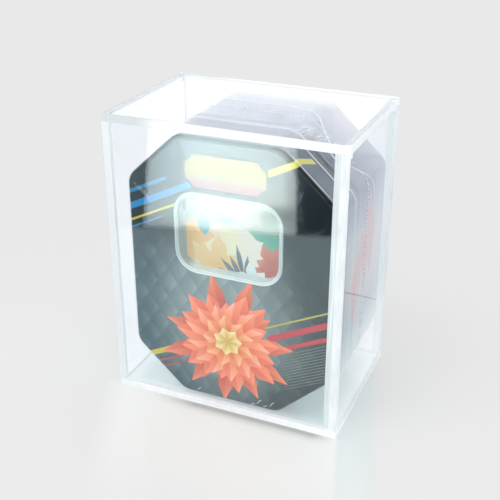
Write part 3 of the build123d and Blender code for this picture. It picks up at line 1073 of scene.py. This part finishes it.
# %% [markdown]
# ## The floor, the background and the light
#
# The case stands on a polished pale sheet. The room is white all round, so the sheet and the acrylic mirror
# white, and a bright panel stands low in front on the left: it is what veils the tin's upper half. The
# panel and the dark gap beside it are seen only by rays that some surface has mirrored, so they light
# nothing. The sheet's own colours hold painted light and shade: a paler patch, a contact shadow, a mirror
# image of the case and a glow for bent rays.

# %% World
BACKDROP = "E9E9E9"
world = bpy.data.worlds.new("pale_studio")
scene.world = world
world.use_nodes = True
work_on(world.node_tree)
path = add("LightPath", out=None).outputs
lighting = add("Background", {"Color": "FDFDFF", "Strength": 0.78})
mirrored = add("Background", {"Color": "FBFDFF", "Strength": 1.17})
seen = add("Background", {"Color": BACKDROP, "Strength": 1})
bent = add("Math", [path["Is Glossy Ray"], path["Is Transmission Ray"]], "MAXIMUM")
light_or_mirror = add("MixShader", [bent, lighting, mirrored])
whole = add("MixShader", [path["Is Camera Ray"], light_or_mirror, seen])
add("OutputWorld", {"Surface": whole}, out=None)


# %% Flat sheets
def flat_sheet(name, corners, height, material):
    """A one-face sheet from its corners in millimetres."""
    data = bpy.data.meshes.new(name)
    data.from_pydata([(x * MM, y * MM, height * MM) for x, y in corners], [], [range(len(corners))])
    sheet = placed(name, data, material)
    return sheet


# %% Floor colours
CASE_HALF_W = 76.5
CASE_HALF_D = 51


def floor_on_view(x, forward):
    """The floor's painted light and shade for the camera: its paler patch, the mirror image at the right and
    the contact shadow, all painted.
    """
    along = add("Math", [forward, -math.tan(HEADING), x], "MULTIPLY_ADD")
    # painted light: a paler patch of floor in front of the case
    painted_pale_patch = both(add("MapRange", [forward, 0, 120, 1, 0]), band(along, 4, 84, 9))
    painted_pale_patch = both(painted_pale_patch, band(forward, 100, 102, 2))
    # painted contact shadow along the case's front edge
    shade = add("MapRange", [forward, 2, 10.5, 1, 0])
    shade = add("Math", [shade, 1.5], "POWER")
    for start, end, low, high in ((-54, -20, 0, 0.74), (62, 77, 1, 0)):
        shade = both(shade, add("MapRange", [x, start, end, low, high]))
    shade = both(shade, band(forward, 10, 11, 0.5))
    # painted reflection: the case's right side mirrored in the floor
    spread = add("Math", [forward, 0.13, along], "MULTIPLY_ADD")
    image = both(add("MapRange", [x, 77, 130, 0.7, 0]), band(spread, 89, 12, 1.5))
    colour = paint("E3E3E3", "FAFFFB", painted_pale_patch)
    return paint(paint(colour, "C8E2E6", image), "8A8E8D", shade), shade


# %% Floor material
def floor_material():
    """Polished white sheet with painted light and shade: its own colours for what the camera, mirrored rays
    and bent rays see of it.
    """
    material = new_material("polished_white_sheet")
    place, x, y, _ = millimetres()
    path = add("LightPath", out=None).outputs
    mirrored = add("Math", [path["Glossy Depth"], 0.5], "GREATER_THAN")
    sides = ((x, CASE_HALF_W), (y, CASE_HALF_D))
    beside = add("Math", [add("Math", [aside(c), half], "SUBTRACT") for c, half in sides], "MAXIMUM")
    # painted shade: under the case the floor is darker and tealer, and glows less for bent rays
    under = add("MapRange", [beside, -14, 4, 1, 0])
    in_front = add("MapRange", [y, -60, -40, 1, 0])
    on_right = add("MapRange", [x, 80, 110])
    lit = paint("F6F7F7", "DAE8E7", under)
    # painted reflection: darker, tealer floor for mirrored rays in front of the case and to its right
    lit = paint(lit, "C2D6DA", both(mirrored, in_front))
    lit = paint(lit, "C2CBD2", both(mirrored, on_right))
    forward = add("Math", [y, -1, -CASE_HALF_D], "MULTIPLY_ADD")
    on_view, shade = floor_on_view(x, forward)
    lit = paint(lit, on_view, path["Is Camera Ray"])
    near = add("BsdfPrincipled", {"Base Color": lit, "Roughness": 0.07, "IOR": 1.45})
    nearby = both(mirrored, add("Math", [in_front, on_right], "MAXIMUM"))
    direct = add("Math", [1, nearby], "SUBTRACT")
    bent = add("Math", [path["Is Transmission Ray"], path["Is Glossy Ray"]], "MAXIMUM")
    direct = both(both(direct, bent), add("MapRange", [under, 0, 1, 0.6, 0.2]))
    # painted glow: the floor gives light of its own to rays bent or mirrored on their way
    bright = add("Emission", {"Color": "FAFCFF", "Strength": 1.15})
    near = add("MixShader", [direct, near, bright])
    far = add("VectorMath", [place], "LENGTH", out="Value")
    fade = add("MapRange", [add("MapRange", [far, 110, 300]), 0, 1, 0.5, 1])
    open_floor = add("Math", [1, shade], "SUBTRACT")
    seen = both(both(fade, open_floor), path["Is Camera Ray"])
    backdrop = add("Emission", {"Color": BACKDROP, "Strength": 1})
    return finished(material, add("MixShader", [seen, near, backdrop]))


REACH = 4000
corners = [(-REACH, -REACH), (REACH, -REACH), (REACH, REACH), (-REACH, REACH)]
flat_sheet("floor", corners, -0.25, floor_material())

# %% Bright panel and dark gap, for reflections only
NEAR_LEFT = (-190, -281)
NEAR_RIGHT = (-51, -319)
FAR_LEFT = (-400, -668)
FAR_RIGHT = (-216, -765)
PANEL_TURN = math.radians(-16)
PANEL_STRENGTH = 5.6


def turned(s, t):
    """A point s to the right along the panel's near edge and t away from the case, in millimetres."""
    c, n = math.cos(PANEL_TURN), math.sin(PANEL_TURN)
    return (NEAR_RIGHT[0] + s * c + t * n, NEAR_RIGHT[1] + s * n - t * c)


def for_mirrors(colour, strength):
    """Plain light for rays that some surface has mirrored, and nothing for all others."""
    light = add("Emission", {"Color": colour, "Strength": strength})
    mirrored = add("Math", [add("LightPath", out="Glossy Depth"), 0.5], "GREATER_THAN")
    return add("MixShader", [mirrored, add("BsdfTransparent"), light])


def glow(name, centre, reach, middle, rim_level):
    """Light that falls off from a centre."""
    material = new_material(name)
    place, *_ = millimetres((*centre, 0))
    far = add("VectorMath", [place], "LENGTH", out="Value")
    level = add("MapRange", [far, 0, reach, middle, rim_level], interpolation_type="SMOOTHSTEP")
    return finished(material, for_mirrors("DEFBFB", level))


# %% The panel's light
def soft_panel_material():
    """The panel's light: cooler on the left, fading towards three edges, dull near one corner."""
    material = new_material("soft_panel")
    place, x, *_ = millimetres()
    spot = add("VectorMath", [place, (-82, -352, 0)], "DISTANCE", out="Value")
    level = add("MapRange", [spot, 0, 42, 0.42], interpolation_type="SMOOTHSTEP")
    for point, away, low, width in (
        (NEAR_LEFT, (0.879, -0.477), 0.6, 60),
        (NEAR_RIGHT, (-0.938, 0.347), 0.45, 16),
        (NEAR_LEFT, (-0.264, -0.965), 0.62, 45),
    ):
        start = point[0] * away[0] + point[1] * away[1]
        inward = add("VectorMath", [place, (*away, 0)], "DOT_PRODUCT", out="Value")
        level = both(level, add("MapRange", [inward, start, start + width, low]))
    level = both(level, PANEL_STRENGTH)
    tone = paint("E6F8FB", "E4F0EC", add("MapRange", [x, -260, -100]))
    return finished(material, for_mirrors(tone, level))


# %% Gap and panels
left, right = -420, 420
near_edge = [turned(left, 0), turned(right, 0)]
far_edge = [turned(left, 520), turned(right, 520)]
unlit = glow("unlit_gap", (-420, -400), 380, 0.75, 0)
gap = flat_sheet("dark_gap", [*near_edge, *far_edge[::-1]], 0.2, unlit)
corners = [NEAR_LEFT, NEAR_RIGHT, FAR_RIGHT, FAR_LEFT]
panel = flat_sheet("bright_panel", corners, 0.4, soft_panel_material())
upright = glow("tall_soft_panel", (-185, -700), 900, 2.4, 1)
tall = flat_sheet("tall_panel", [*far_edge, *far_edge[::-1]], 0, upright)
for corner, height in zip(tall.data.vertices, (0.4, 0.4, 900, 900)):
    corner.co.z = height * MM
for sheet in (gap, panel, tall):
    sheet.visible_camera = sheet.visible_diffuse = sheet.visible_shadow = False
    print(sheet.name, "is seen by mirrored rays only")


# %% Lamps
def lamp(name, place, size, power):
    """A soft square lamp that looks at the middle of the case and shows in no reflection."""
    light = bpy.data.lights.new(name, "AREA")
    light.size = size
    light.energy = power
    holder = placed(name, light)
    holder.location = Vector(place)
    holder.rotation_mode = "QUATERNION"
    holder.rotation_quaternion = (AIM - holder.location).to_track_quat("-Z", "Y")
    holder.visible_glossy = False


lamp("key", (-0.9, -1.1, 1.5), 1.4, 14)
lamp("fill", (1.2, -0.9, 0.9), 1.2, 6)
lamp("low_front", (0.25, -1.3, 0.35), 1, 4.5)
lamp("rear", (0.5, 1.2, 0.7), 1, 1.2)

# %% [markdown]
# ## Light bounces
#
# A ray that enters an edge is reflected a dozen times before it leaves at the far end, so the limits on
# bounces are raised. With fewer, the edges turn black.

# %% Bounces
scene.cycles.max_bounces = 32
scene.cycles.glossy_bounces = 24
scene.cycles.transmission_bounces = 24
scene.cycles.transparent_max_bounces = 32
scene.cycles.diffuse_bounces = 3

# %% Finish
bpy.context.view_layer.update()
